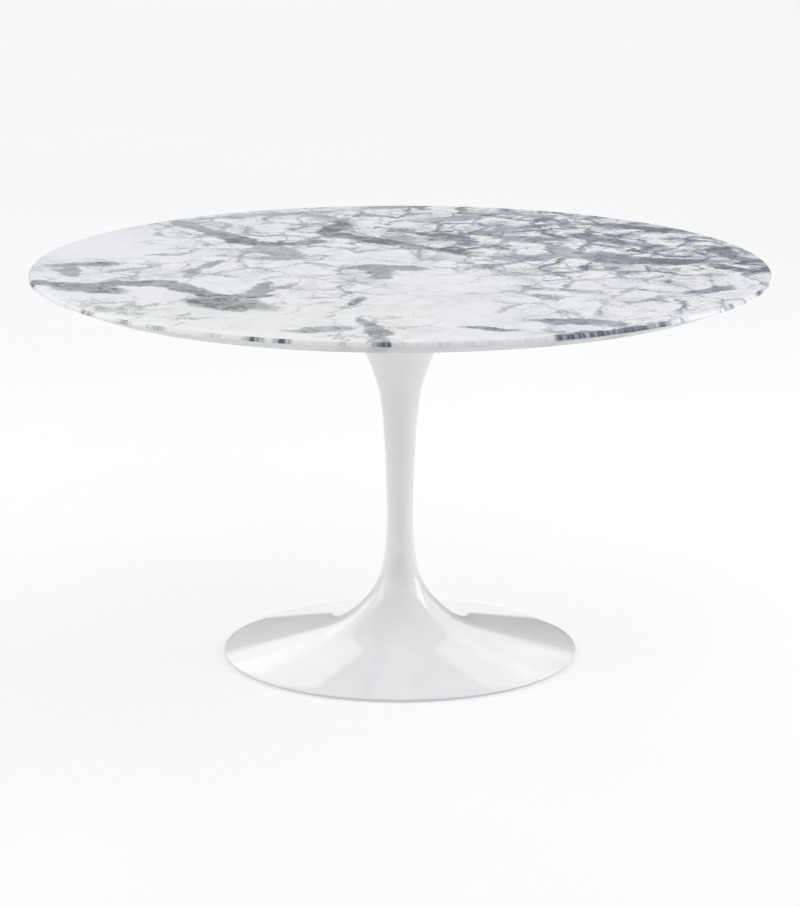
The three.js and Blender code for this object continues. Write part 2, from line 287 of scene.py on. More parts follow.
def combined(shape, tool, operation):
    """Cuts, joins or trims a shape with a tool, which is used up."""
    cut = shape.modifiers.new(operation.lower(), "BOOLEAN")
    cut.operation = operation
    cut.object = tool
    cut.solver = "EXACT"
    bpy.ops.object.select_all(action="DESELECT")
    shape.select_set(True)
    bpy.context.view_layer.objects.active = shape
    bpy.ops.object.modifier_apply(modifier=cut.name)
    bpy.data.objects.remove(tool)


def placed(shape, name, place):
    """A copy of a finished shape, with a mesh of its own, moved to its place."""
    copy = shape.copy()
    copy.data = shape.data.copy()
    copy.name = name
    copy.location = place
    bpy.context.scene.collection.objects.link(copy)
    bpy.ops.object.select_all(action="DESELECT")
    copy.select_set(True)
    bpy.context.view_layer.objects.active = copy
    bpy.ops.object.transform_apply(location=True, rotation=False, scale=False)
    return copy


def pattern(shape, places):
    """One shape made of copies of another, one at each place; the first shape is used up."""
    copies = [placed(shape, shape.name + "_copy", place) for place in places]
    bpy.data.objects.remove(shape)
    bpy.ops.object.select_all(action="DESELECT")
    for copy in copies:
        copy.select_set(True)
    bpy.context.view_layer.objects.active = copies[0]
    bpy.ops.object.join()
    return copies[0]


slab_low, slab_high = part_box("marble_top")
top_radius = slab_high[0]
bevel_drop = slab_high[2] - EDGE_ROUND - slab_low[2]
bevel_angle = math.degrees(math.atan2(bevel_drop, BEVEL_RUN))
shoulder = (top_radius - EDGE_ROUND, slab_high[2] - EDGE_ROUND)
nose = (top_radius - EDGE_BREAK, shoulder[1])
slab_outline = [
    (0.0, slab_low[2]),
    *[(ring, slab_low[2]) for ring in UNDERSIDE_RINGS],
    (top_radius - BEVEL_RUN - BEVEL_EASE_IN, slab_low[2]),
    (top_radius - BEVEL_RUN + BEVEL_EASE_OUT, slab_low[2] + BEVEL_EASE_RISE),
    *arc(nose, EDGE_BREAK, bevel_angle - 90.0, 0.0, 4),
    *arc(shoulder, EDGE_ROUND, EDGE_START, 90.0, 10),
    *[(ring, slab_high[2]) for ring in TOP_RINGS],
    (0.0, slab_high[2]),
]
slab = turned("stone_slab", slab_outline, SLAB_STEPS)

# Blind holes under the slab, drilled for the threaded inserts and the resin round them.
insert_boxes = [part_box(f"insert_{i + 1}") for i in range(INSERTS)]
insert_places = [((low[0] + high[0]) / 2.0, (low[1] + high[1]) / 2.0, 0.0) for low, high in insert_boxes]
insert_low, insert_high = insert_boxes[0]
hole_radius = (insert_high[0] - insert_low[0]) / 2.0 + GLUE_GAP
drill_outline = [
    (0.0, slab_low[2] - GLUE_GAP),
    (hole_radius, slab_low[2] - GLUE_GAP),
    (hole_radius, insert_high[2] + GLUE_GAP),
    (0.0, insert_high[2] + DRILL_TIP),
]
combined(slab, pattern(turned("drill", drill_outline, DRILL_STEPS), insert_places), "DIFFERENCE")
smooth(slab, 40.0)

# Grey pools: (half width, depth of grey, route). The route is in metres from the middle of the
# top, +X to the right and +Y away from the front. The depth goes from 0, white, to 1, near black.
POOLS = [
    (0.022, 0.85, [(-0.69, -0.13), (-0.60, -0.17)]),
    (0.036, 0.80, [(-0.60, -0.19), (-0.53, -0.23)]),
    (0.028, 0.85, [(-0.54, -0.18), (-0.44, -0.15), (-0.37, -0.22)]),
    (0.022, 0.90, [(-0.38, -0.23), (-0.31, -0.29), (-0.24, -0.28)]),
    (0.050, 0.85, [(-0.33, -0.33), (-0.26, -0.37)]),
    (0.016, 0.80, [(-0.245, -0.28), (-0.25, -0.16)]),
    (0.022, 0.80, [(-0.63, 0.02), (-0.54, 0.03)]),
    (0.018, 0.75, [(-0.62, -0.01), (-0.60, -0.07)]),
    (0.011, 0.55, [(-0.53, -0.05), (-0.48, -0.02), (-0.46, 0.01)]),
    (0.012, 0.50, [(-0.46, 0.12), (-0.40, 0.135)]),
    (0.012, 0.65, [(-0.34, 0.06), (-0.37, -0.02), (-0.385, -0.10)]),
    (0.024, 0.75, [(-0.43, 0.48), (-0.39, 0.40), (-0.34, 0.34)]),
    (0.030, 0.85, [(-0.34, 0.33), (-0.29, 0.26)]),
    (0.020, 0.88, [(-0.29, 0.25), (-0.19, 0.24), (-0.16, 0.27)]),
    (0.012, 0.65, [(-0.31, 0.35), (-0.20, 0.33)]),
    (0.032, 0.55, [(-0.25, 0.20), (-0.22, 0.12)]),
    (0.009, 0.75, [(-0.25, 0.08), (-0.18, 0.085)]),
    (0.016, 0.55, [(-0.40, 0.52), (-0.24, 0.58), (-0.13, 0.61)]),
    (0.020, 0.60, [(-0.07, 0.64), (0.02, 0.67)]),
    (0.024, 0.55, [(-0.18, 0.56), (-0.12, 0.50)]),
    (0.024, 0.95, [(-0.11, 0.48), (-0.14, 0.38)]),
    (0.030, 0.95, [(-0.13, 0.36), (-0.07, 0.29), (0.00, 0.24)]),
    (0.020, 0.90, [(0.00, 0.24), (0.07, 0.18), (0.12, 0.155)]),
    (0.022, 0.92, [(0.05, 0.35), (0.12, 0.31), (0.13, 0.25)]),
    (0.026, 0.60, [(0.00, 0.31), (0.02, 0.28)]),
    (0.028, 0.60, [(0.08, 0.51), (0.14, 0.53)]),
    (0.014, 0.75, [(0.20, 0.60), (0.24, 0.56), (0.29, 0.55)]),
    (0.018, 0.80, [(0.17, 0.36), (0.22, 0.41), (0.28, 0.45)]),
    (0.016, 0.85, [(0.32, 0.50), (0.33, 0.42)]),
    (0.018, 0.85, [(0.36, 0.46), (0.46, 0.44)]),
    (0.024, 0.95, [(0.46, 0.41), (0.55, 0.37)]),
    (0.022, 0.75, [(0.20, 0.31), (0.31, 0.28)]),
    (0.022, 0.90, [(0.34, 0.34), (0.42, 0.25), (0.49, 0.21)]),
    (0.030, 0.70, [(0.19, 0.10), (0.28, 0.11)]),
    (0.028, 0.60, [(0.29, 0.20), (0.33, 0.12)]),
    (0.038, 0.85, [(0.38, 0.12), (0.43, 0.06)]),
    (0.030, 0.90, [(0.43, 0.05), (0.57, 0.05)]),
    (0.022, 0.95, [(0.60, 0.20), (0.64, 0.09), (0.68, 0.05)]),
    (0.020, 0.90, [(0.58, 0.00), (0.66, -0.06)]),
    (0.026, 0.75, [(-0.08, 0.00), (0.02, -0.01)]),
    (0.024, 0.70, [(-0.04, -0.03), (-0.045, -0.10)]),
    (0.012, 0.80, [(-0.10, -0.38), (-0.07, -0.30)]),
    (0.018, 0.70, [(-0.19, -0.59), (-0.10, -0.58)]),
    (0.016, 0.75, [(-0.07, -0.50), (-0.04, -0.60), (-0.02, -0.70)]),
    (0.016, 0.80, [(0.13, -0.555), (0.19, -0.575)]),
    (0.026, 0.78, [(0.24, -0.51), (0.36, -0.53)]),
    (0.020, 0.90, [(0.27, -0.64), (0.35, -0.60), (0.42, -0.56)]),
    (0.020, 0.80, [(0.53, -0.24), (0.58, -0.20)]),
    (0.016, 0.60, [(0.30, -0.22), (0.36, -0.25)]),
    (0.008, 0.80, [(0.50, -0.33), (0.49, -0.43)]),
]
# Crushed ground, where the stones are small and the seams between them thick.
CRUSHED = [
    (0.10, 0.55, [(-0.30, 0.60), (0.04, 0.62), (0.28, 0.56)]),
    (0.13, 0.65, [(-0.40, 0.44), (-0.24, 0.18)]),
    (0.11, 0.45, [(-0.66, -0.02), (-0.45, -0.04)]),
    (0.09, 0.60, [(-0.24, -0.02), (-0.16, -0.10), (-0.12, -0.30)]),
    (0.09, 0.45, [(-0.14, -0.02), (0.16, 0.02)]),
    (0.12, 0.55, [(0.24, -0.20), (0.36, -0.52)]),
    (0.10, 0.50, [(0.54, -0.18), (0.52, -0.40)]),
    (0.09, 0.40, [(-0.52, -0.36), (-0.36, -0.46)]),
    (0.09, 0.45, [(-0.10, -0.46), (-0.02, -0.64)]),
    (0.12, 0.80, [(-0.14, 0.47), (-0.06, 0.32), (0.08, 0.24)]),
    (0.17, 0.90, [(0.16, 0.36), (0.30, 0.12), (0.48, 0.04)]),
    (0.21, 1.00, [(0.30, 0.42), (0.48, 0.28), (0.58, 0.12)]),
]
# Stains that end in the edge: how far round from the front, in degrees, and half width and depth.
EDGE_STAINS = [
    (-76.0, 2.2, 0.9),
    (-53.0, 1.5, 1.0),
    (-44.0, 1.6, 0.9),
    (-37.5, 1.8, 1.0),
    (-27.5, 1.4, 0.5),
    (-21.0, 1.6, 1.3),
    (-16.8, 1.3, 1.6),
    (-2.2, 1.3, 1.1),
    (25.5, 1.5, 0.6),
    (30.0, 2.4, 1.2),
    (36.0, 2.8, 1.1),
    (41.0, 1.6, 1.4),
    (58.0, 1.5, 0.5),
    (70.0, 2.0, 1.0),
]
STAIN_SPREAD = 1.6
WHITE = (0.812, 0.822, 0.86)
VEIL = (0.66, 0.675, 0.70)
GREEN_GREYS = [
    (0.0, WHITE),
    (0.25, VEIL),
    (0.55, (0.37, 0.405, 0.42)),
    (0.85, (0.25, 0.28, 0.29)),
    (1.0, (0.08, 0.09, 0.10)),
]
BLUE_GREYS = [
    (0.0, WHITE),
    (0.25, VEIL),
    (0.55, (0.37, 0.40, 0.45)),
    (0.85, (0.22, 0.245, 0.29)),
    (1.0, (0.085, 0.095, 0.12)),
]


def painted(stone, place, routes, softness, ground=0.0):
    """The grey at a place once the routes are laid over the ground, each as a row of ovals."""
    for half_width, depth, route in routes:
        for start, end in zip(route, route[1:]):
            leg = Vector((*end, 0.0)) - Vector((*start, 0.0))
            along = leg.normalized() / (leg.length / 2.0 + half_width)
            across = Vector((-leg.y, leg.x, 0.0)).normalized() / half_width
            middle = Vector((*start, 0.0)) + leg / 2.0
            offset = stone.vector("SUBTRACT", place, middle)
            lengthwise = stone.vector("DOT_PRODUCT", offset, along, "Value")
            crosswise = stone.vector("DOT_PRODUCT", offset, across, "Value")
            spread = lengthwise * lengthwise + crosswise * crosswise
            ground = spread.rising((1.0 + softness) ** 2, (1.0 - softness) ** 2, ground, depth)
    return ground


def marble_finish():
    """White marble, crushed and healed with grey: polished, greyed with painted shade on its bevel, sawn
    underneath.
    """
    stone = Finish(bpy.data.materials.new("marble"))
    solid = stone.place()
    place = stone.vector("MULTIPLY", solid, (1.0, 1.0, 0.3))
    half = (0.5, 0.5, 0.5)
    slow = stone.vector("SUBTRACT", stone.noise(place, 5.0, 2.0, output="Color"), half)
    quick = stone.vector("SUBTRACT", stone.noise(place, 17.0, 6.0, 0.60, output="Color"), half)
    tear = stone.vector("SUBTRACT", stone.noise(place, 80.0, 4.0, 0.6, output="Color"), half)
    bent = stone.vector("MULTIPLY_ADD", slow, (0.05, 0.05, 0.05), third=place)
    ragged = stone.vector("MULTIPLY_ADD", quick, (0.070, 0.070, 0.070), third=bent)
    torn = stone.vector("MULTIPLY_ADD", tear, (0.025, 0.025, 0.025), third=ragged)
    level = stone.vector("MULTIPLY", torn, (1.0, 1.0, 0.0))

    crushed = painted(stone, level, CRUSHED, 0.7)
    patchy = stone.noise(place, 6.5, 3.0).rising(0.38, 0.66)
    loose = (crushed * 0.8 + patchy * 0.22).clamped()

    # Seams between the stones: darkest along the middle, wide and strong in crushed ground.
    edges = {"feature": "DISTANCE_TO_EDGE"}
    large = stone.node("ShaderNodeTexVoronoi", edges, {"Vector": torn, "Scale": 11.0}, "Distance")
    small = stone.node("ShaderNodeTexVoronoi", edges, {"Vector": torn, "Scale": 26.0}, "Distance")
    uneven = stone.noise(bent, 17.0, 4.0, 0.55).rising(0.34, 0.66)
    width = loose * uneven * 0.31 + 0.02
    seams = (1.0 - large.rising(0.0, width)) * loose
    fine_width = crushed * uneven * 0.38 + 0.01
    fine_seams = (1.0 - small.rising(0.0, fine_width)) * (crushed * 0.56)
    cracks = (1.0 - large.rising(0.0, 0.045)) * loose * uneven
    matrix = seams.most(fine_seams)

    # Pools over the seams, smoke in the white, streaks in the grey, and dark hairlines.
    pooled = painted(stone, level, POOLS, 0.28, matrix)
    smoke = stone.noise(ragged, 8.0, 8.0, 0.66).rising(0.46, 0.76)
    veiled = pooled.most(smoke * (loose * 0.45 + 0.32))
    streaks = stone.noise(torn, 42.0, 6.0, 0.68)
    clouds = stone.noise(torn, 13.0, 4.0, 0.55)
    ridge = stone.noise(torn, 11.0, 3.0, 0.5) - 0.5
    hairline = (1.0 - (ridge * ridge).rising(0.000004, 0.00025)) * (veiled * 0.9 + loose * 0.06)
    grey = veiled * (streaks * 1.9 + clouds - 0.48) + hairline * 0.38 + cracks * 0.36

    # The edge cuts the stone across, so that what reaches it is drawn out into upright lines.
    axes = stone.node("ShaderNodeSeparateXYZ", {}, {0: solid}, "Z")
    around = stone.vector("NORMALIZE", stone.vector("MULTIPLY", solid, (1.0, 1.0, 0.0)))
    lines = stone.noise(around, 70.0, 6.0, 0.78).rising(0.38, 0.60)
    stained = 0.0
    for degrees, half_width, depth in EDGE_STAINS:
        spot = (math.sin(math.radians(degrees)), -math.cos(math.radians(degrees)), 0.0)
        away = stone.vector("DISTANCE", around, spot, "Value")
        stained = away.rising(math.radians(half_width) * STAIN_SPREAD, 0.0, stained, depth)
    rounded = axes.rising(slab_high[2] - 0.0002, slab_high[2] - 0.0014)
    upright = axes.rising(slab_high[2] - EDGE_ROUND - 0.002, slab_high[2] - EDGE_ROUND)
    edge = rounded * upright
    drawn_out = stained * (lines * 0.6 + 0.35) + lines * 0.10
    depth = grey * (1.0 - edge * (1.0 - lines) * 0.7) + drawn_out * edge

    # Greener greys on the left and bluer ones on the right, and a breath of ivory at the front left.
    sideways = stone.node("ShaderNodeSeparateXYZ", {}, {0: bent}, "X").rising(-0.25, 0.25)
    left = stone.node("ShaderNodeValToRGB", {"stops": GREEN_GREYS}, {"Fac": depth})
    right = stone.node("ShaderNodeValToRGB", {"stops": BLUE_GREYS}, {"Fac": depth})
    colour = stone.blend(sideways, left, right)
    frontward = stone.node("ShaderNodeSeparateXYZ", {}, {0: place}, "Y").rising(-0.15, -0.5)
    ivory = frontward * (1.0 - sideways) * (1.0 - depth.clamped()) * 0.6
    warm = stone.blend(ivory, colour, (0.82, 0.82, 0.80, 1.0))

    # The bevel faces down, out of the light, and is greyed with painted shade; the underside is rough and
    # matt from the saw.
    fleck = stone.noise(place, 420.0, 3.0, 0.7).rising(0.35, 0.75)
    sawn = axes.rising(slab_low[2] + 0.0012, slab_low[2] + 0.0004)
    # Painted shade: the bevel's colour goes 60% of the way to grey, on top of the stone's fine flecks.
    bevel_shade = axes.rising(shoulder[1], shoulder[1] - 0.002) * (1.0 - sawn)
    flecked_and_shaded = stone.blend(fleck * 0.10 + bevel_shade * 0.60, warm, (0.42, 0.43, 0.44, 1.0))

    polish = stone.noise(place, 60.0, 4.0) * 0.12 + depth * 0.05 + sawn * 0.4 + 0.26
    pits = stone.noise(place, 900.0, 2.0) * (sawn * 0.9 + 0.1)
    return stone.surface(
        Base_Color=flecked_and_shaded,
        Roughness=polish,
        Normal=stone.bump(pits, 0.0002, 0.35),
    )


slab.data.materials.append(marble_finish())
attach(slab, "table")
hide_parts("marble_top")

# ---------------------------------------------------------------------------------------------
# Pedestal. One hollow iron casting in the shape of a trumpet bell on a round foot, ground
# smooth and coated with thick glossy white enamel. Inside it is left as cast under thin paint.
CAST_WALL = 0.008
LIP_RADIUS = 0.150
LIP_EDGE = 0.0025
LIP_LEAN = 66.0
NECK_RADIUS = 0.0387
NECK_DROP = 0.2035
NECK_LEAN = 11.4
WAIST_RADIUS = 0.0246
WAIST_RISE = 0.154
FOOT_RADIUS = 0.061
FOOT_RISE = 0.066
FOOT_LEAN = 41.5
SKIRT_RADIUS = 0.1755
SKIRT_SLOPE = 12.8
RIM_ROUND = 0.0016
LIP_ROUND = 0.0010
WEB_RISE = 0.041
WEB_THICKNESS = 0.012
ROD_HOLE = 0.00875
CURVE_STEPS = 20
SKIRT_STEPS = 12
PEDESTAL_STEPS = 180
FACING_OUT = 0.02
BOSS_RADIUS = 0.013
BOSS_LOW = 0.008
BOSS_DRAFT = 0.0006
BOSS_ROUND = 0.0012
BOSS_BORE = 0.00415
BOSS_BORE_TOP = 0.0205
BOSS_STEPS = 48
BOSS_TOP_COVER = 0.001
TAP_SINK = 0.0008
TAP_OVERRUN = 0.001
TAP_STEPS = 40

foot_low, foot_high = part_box("pedestal")
slope = math.radians(SKIRT_SLOPE)
rim_centre = (foot_high[0] - RIM_ROUND, foot_low[2] + RIM_ROUND)
skirt_end = (rim_centre[0] + RIM_ROUND * math.sin(slope), rim_centre[1] + RIM_ROUND * math.cos(slope))


def skirt_height(radius):
    """Height of the skirt's outer face at a radius: it runs down to the rim at one slope."""
    return skirt_end[1] + (skirt_end[0] - radius) * math.tan(slope)


def downward(lean):
    """The direction that leans outwards from straight down by an angle in degrees."""
    return Vector((math.sin(math.radians(lean)), -math.cos(math.radians(lean))))


def casting_line(depth):
    """Points down the casting at a depth under its outer face, from the lip to the skirt's top."""
    lip = foot_high[2] - LIP_EDGE
    foot = skirt_height(SKIRT_RADIUS) + FOOT_RISE
    # radius, height, lean outwards going down, pull above, pull below
    stations = [
        (LIP_RADIUS, lip, -LIP_LEAN, 0.0, 0.040),
        (NECK_RADIUS, lip - NECK_DROP, -NECK_LEAN, 0.060, 0.056),
        (WAIST_RADIUS, foot + WAIST_RISE, 0.0, 0.024, 0.051),
        (FOOT_RADIUS, foot, FOOT_LEAN, 0.047, 0.068),
        (SKIRT_RADIUS, skirt_height(SKIRT_RADIUS), 90.0 - SKIRT_SLOPE, 0.0485, 0.0),
    ]
    line = []
    for upper, lower in zip(stations, stations[1:]):
        start = Vector(upper[:2])
        end = Vector(lower[:2])
        leaving = start + upper[4] * downward(upper[2])
        arriving = end - lower[3] * downward(lower[2])
        # A span ends where the next one starts, so only the last one keeps its end point.
        for i in range(CURVE_STEPS + (lower is stations[-1])):
            t = i / CURVE_STEPS
            s = 1.0 - t
            point = s**3 * start + 3 * s * s * t * leaving + 3 * s * t * t * arriving + t**3 * end
            way = s * s * (leaving - start) + 2 * s * t * (arriving - leaving) + t * t * (end - arriving)
            way.normalize()
            line.append((point.x + depth * way.y, point.y - depth * way.x))
    return line


def radius_at(line, height):
    """Radius at which a line that runs downwards passes a height."""
    for upper, lower in zip(line, line[1:]):
        if lower[1] <= height:
            share = (upper[1] - height) / (upper[1] - lower[1])
            return upper[0] + share * (lower[0] - upper[0])


inside = casting_line(CAST_WALL)
web_low = skirt_height(SKIRT_RADIUS) + WEB_RISE
web_high = web_low + WEB_THICKNESS
rim_inside = skirt_end[0] - (foot_low[2] + CAST_WALL / math.cos(slope) - skirt_end[1]) / math.tan(slope)
hollow = [point for point in inside if point[1] < web_low]
cavity = [point for point in inside if web_high < point[1] < foot_high[2]]
skirt_width = skirt_end[0] - SKIRT_RADIUS
straight_skirt = [SKIRT_RADIUS + skirt_width * i / SKIRT_STEPS for i in range(1, SKIRT_STEPS)]
pedestal_outline = [
    (LIP_RADIUS - LIP_ROUND, foot_high[2]),
    *arc((LIP_RADIUS - LIP_ROUND, foot_high[2] - LIP_ROUND), LIP_ROUND, 70.0, 0.0, 3),
    *casting_line(0.0),
    *[(radius, skirt_height(radius)) for radius in straight_skirt],
    *arc(rim_centre, RIM_ROUND, 90.0 - SKIRT_SLOPE, -90.0, 10),
    (rim_inside, foot_low[2]),
    *reversed(hollow),
    (radius_at(inside, web_low), web_low),
    (ROD_HOLE, web_low),
    (ROD_HOLE, web_high),
    (radius_at(inside, web_high), web_high),
    *reversed(cavity),
    (radius_at(inside, foot_high[2]), foot_high[2]),
    (LIP_RADIUS - LIP_ROUND, foot_high[2]),
]
casting = turned("pedestal_casting", pedestal_outline, PEDESTAL_STEPS)

# Four bosses under the skirt, each drilled and tapped for a glide.
pad_low, pad_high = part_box("glide_pad_front_right")
glide_offset = (pad_low[0] + pad_high[0]) / 2.0
glide_places = [(x * glide_offset, y * glide_offset, 0.0) for x in (-1, 1) for y in (-1, 1)]
boss_top = skirt_height(math.hypot(glide_offset, glide_offset) + BOSS_RADIUS) - BOSS_TOP_COVER
boss_outline = [
    (0.0, BOSS_LOW),
    (BOSS_RADIUS - BOSS_DRAFT - BOSS_ROUND, BOSS_LOW),
    *arc((BOSS_RADIUS - BOSS_DRAFT - BOSS_ROUND, BOSS_LOW + BOSS_ROUND), BOSS_ROUND, -60.0, 0.0, 3),
    (BOSS_RADIUS, boss_top),
    (0.0, boss_top),
]
bore_outline = [
    (0.0, BOSS_LOW - TAP_OVERRUN),
    (BOSS_BORE + TAP_SINK + TAP_OVERRUN, BOSS_LOW - TAP_OVERRUN),
    (BOSS_BORE, BOSS_LOW + TAP_SINK),
    (BOSS_BORE, BOSS_BORE_TOP),
    (0.0, BOSS_BORE_TOP),
]
combined(casting, pattern(turned("boss", boss_outline, BOSS_STEPS), glide_places), "UNION")
combined(casting, pattern(turned("tap", bore_outline, TAP_STEPS), glide_places), "DIFFERENCE")


def enamel_finish():
    """Thick glossy enamel: a faint orange peel, a few cloudy patches and fine rubbing marks."""
    enamel = Finish(bpy.data.materials.new("white_enamel"))
    place = enamel.place()
    cloud = enamel.noise(place, 5.0, 3.0).rising(0.3, 0.7)
    colour = enamel.blend(cloud, (0.79, 0.793, 0.803, 1.0), (0.82, 0.822, 0.827, 1.0))
    rubbed = enamel.noise(place, 38.0, 6.0, 0.65).rising(0.45, 0.85)
    peel = enamel.noise(place, 260.0, 2.0, 0.4)
    return enamel.surface(
        Base_Color=colour,
        Roughness=cloud * 0.02 + rubbed * 0.05 + 0.05,
        IOR=1.52,
        Normal=enamel.bump(peel, 0.0001, 0.12),
    )


def cast_inside_finish():
    """Sand-cast iron under one thin coat of white: grainy, dull and dirtier in its hollows."""
    cast = Finish(bpy.data.materials.new("white_enamel_inside"))
    place = cast.place()
    sand = cast.noise(place, 520.0, 5.0, 0.7)
    lumps = cast.noise(place, 60.0, 4.0, 0.6)
    stain = cast.noise(place, 14.0, 6.0, 0.6).rising(0.45, 0.75)
    colour = cast.blend(stain * 0.55 + sand * 0.15, (0.70, 0.70, 0.69, 1.0), (0.48, 0.475, 0.46, 1.0))
    return cast.surface(
        Base_Color=colour,
        Roughness=sand * 0.2 + 0.5,
        Normal=cast.bump(sand * 0.6 + lumps, 0.0008, 0.5),
    )


casting.data.materials.append(enamel_finish())
casting.data.materials.append(cast_inside_finish())

# As-cast paint under the skirt and on each face that doesn't look outwards, enamel on the rest.
for face in casting.data.polygons:
    radius = math.hypot(face.center.x, face.center.y)
    outward = Vector((face.center.x, face.center.y, 0.0)) / radius
    under_skirt = radius < rim_inside and face.center.z < skirt_height(radius) - CAST_WALL / 2.0
    if under_skirt or face.normal.dot(outward) < FACING_OUT:
        face.material_index = 1
smooth(casting, 30.0)
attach(casting, "table")
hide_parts("pedestal")

# ---------------------------------------------------------------------------------------------
# Gasket. A thin ring of black rubber that keeps the casting's lip off the stone. It is cut from
# sheet, so its edges are square but for the slight pillow that the weight presses into them.
GASKET_MARGIN = 0.0015
PILLOW = 0.0003

gasket_low, gasket_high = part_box("pedestal_gasket")
gasket_bore = radius_at(inside, foot_high[2]) + GASKET_MARGIN
gasket_edge = gasket_high[0] - PILLOW
gasket_outline = [
    (gasket_bore, gasket_low[2]),
    (gasket_edge, gasket_low[2]),
    *arc((gasket_edge, gasket_low[2] + PILLOW), PILLOW, -60.0, 0.0, 3),
    *arc((gasket_edge, gasket_high[2] - PILLOW), PILLOW, 0.0, 60.0, 3),
    (gasket_edge, gasket_high[2]),
    (gasket_bore, gasket_high[2]),
    (gasket_bore, gasket_low[2]),
]
gasket = turned("rubber_gasket", gasket_outline, PEDESTAL_STEPS)
smooth(gasket)


def rubber_finish():
    """Black sheet rubber: a dusty bloom, talc in its grain and a fine calendered texture."""
    rubber = Finish(bpy.data.materials.new("dark_rubber"))
    place = rubber.place()
    bloom = rubber.noise(place, 30.0, 5.0, 0.6).rising(0.4, 0.8)
    grain = rubber.noise(place, 900.0, 3.0, 0.7)
    colour = rubber.blend(bloom * 0.6 + grain * 0.2, (0.022, 0.022, 0.023, 1.0), (0.085, 0.083, 0.080, 1.0))
    return rubber.surface(
        Base_Color=colour,
        Roughness=grain * 0.2 + 0.62,
        Normal=rubber.bump(grain, 0.0002, 0.4),
    )


gasket.data.materials.append(rubber_finish())
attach(gasket, "table")
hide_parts("pedestal_gasket")


# ---------------------------------------------------------------------------------------------
# Plate, inserts and screws. A round steel plate with a threaded hub is held to the slab by six
# screws in brass inserts. All of it sits inside the casting, so each keeps its plain shape.
def zinc_finish(name, lathe_turned=False):
    """Bright zinc plate: a mottle of blue and straw, fine tool lines, grey where it is handled."""
    zinc = Finish(bpy.data.materials.new(name))
    place = zinc.place()
    mottle = zinc.noise(place, 45.0, 5.0, 0.6)
    flakes = zinc.node("ShaderNodeTexVoronoi", {}, {"Vector": place, "Scale": 260.0}, "Distance")
    straw = zinc.blend(mottle.rising(0.40, 0.65), (0.60, 0.635, 0.68, 1.0), (0.68, 0.66, 0.58, 1.0))
    dulled = zinc.noise(place, 120.0, 6.0, 0.7).rising(0.50, 0.75)
    colour = zinc.blend(dulled * 0.5 + flakes * 0.15, straw, (0.40, 0.41, 0.42, 1.0))
    stretch = (900.0, 900.0, 90.0) if lathe_turned else (140.0, 900.0, 900.0)
    tool_lines = zinc.noise(zinc.vector("MULTIPLY", place, stretch), 1.0, 3.0, 0.6)
    return zinc.surface(
        Base_Color=colour,
        Metallic=1.0 - dulled * 0.25,
        Roughness=tool_lines * 0.12 + dulled * 0.18 + 0.20,
        Normal=zinc.bump(tool_lines, 0.0001, 0.25),
    )


def brass_finish():
    """Free-cutting brass: warm, slightly browned, with the fine rings of the lathe."""
    brass = Finish(bpy.data.materials.new("brass"))
    place = brass.place()
    browned = brass.noise(place, 150.0, 5.0, 0.6).rising(0.35, 0.75)
    colour = brass.blend(browned, (0.76, 0.58, 0.27, 1.0), (0.50, 0.34, 0.15, 1.0))
    rings = brass.noise(brass.vector("MULTIPLY", place, (40.0, 40.0, 2500.0)), 1.0, 2.0)
    return brass.surface(
        Base_Color=colour,
        Metallic=1.0 - browned * 0.1,
        Roughness=browned * 0.15 + rings * 0.08 + 0.22,
        Normal=brass.bump(rings, 0.0001, 0.3),
    )


def refinish(node, material):
    """Gives a node that keeps its plain shape a finish of its own."""
    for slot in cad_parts[node].material_slots:
        slot.material = material


zinc = zinc_finish("zinc_steel")
brass = brass_finish()
refinish("mounting_plate", zinc)
refinish("rod_lock_nut", zinc)
for i in range(1, INSERTS + 1):
    refinish(f"insert_{i}", brass)
    refinish(f"plate_washer_{i}", zinc)
    refinish(f"plate_screw_{i}", zinc)

# ---------------------------------------------------------------------------------------------
# Tie rod. A steel rod runs from the plate's hub down the middle of the stem. Its lower end comes
# out under the web, and each end has a rolled thread with a chamfered tip.
THREAD_PITCH = 0.002
THREAD_DEPTH = 0.0011
THREAD_TURNS = 30
CREST_START = 0.42
CREST_END = 0.58
ROD_CHAMFER = 0.0015
SHANK_RELIEF = 0.0003
ROD_STEPS = 48

rod_low, rod_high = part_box("tie_rod")
rod_radius = rod_high[0]


def thread(radius, depth, pitch, foot, turns):
    """Points up a rolled thread, drawn as grooves side by side, from its first root to its last."""
    points = [(radius - depth, foot)]
    for i in range(turns):
        root = foot + i * pitch
        points += [
            (radius, root + CREST_START * pitch),
            (radius, root + CREST_END * pitch),
            (radius - depth, root + pitch),
        ]
    return points


shank = rod_radius - SHANK_RELIEF
thread_low = rod_low[2] + ROD_CHAMFER
thread_high = rod_high[2] - ROD_CHAMFER - THREAD_TURNS * THREAD_PITCH
rod_outline = [
    (0.0, rod_low[2]),
    (rod_radius - ROD_CHAMFER, rod_low[2]),
    *thread(rod_radius, THREAD_DEPTH, THREAD_PITCH, thread_low, THREAD_TURNS),
    (shank, thread_low + THREAD_TURNS * THREAD_PITCH + SHANK_RELIEF),
    (shank, thread_high - SHANK_RELIEF),
    *thread(rod_radius, THREAD_DEPTH, THREAD_PITCH, thread_high, THREAD_TURNS),
    (rod_radius - ROD_CHAMFER, rod_high[2]),
    (0.0, rod_high[2]),
]
rod = turned("threaded_tie_rod", rod_outline, ROD_STEPS)
smooth(rod, 25.0)
rod.data.materials.append(zinc_finish("zinc_steel_rod", lathe_turned=True))
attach(rod, "table")
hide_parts("tie_rod")

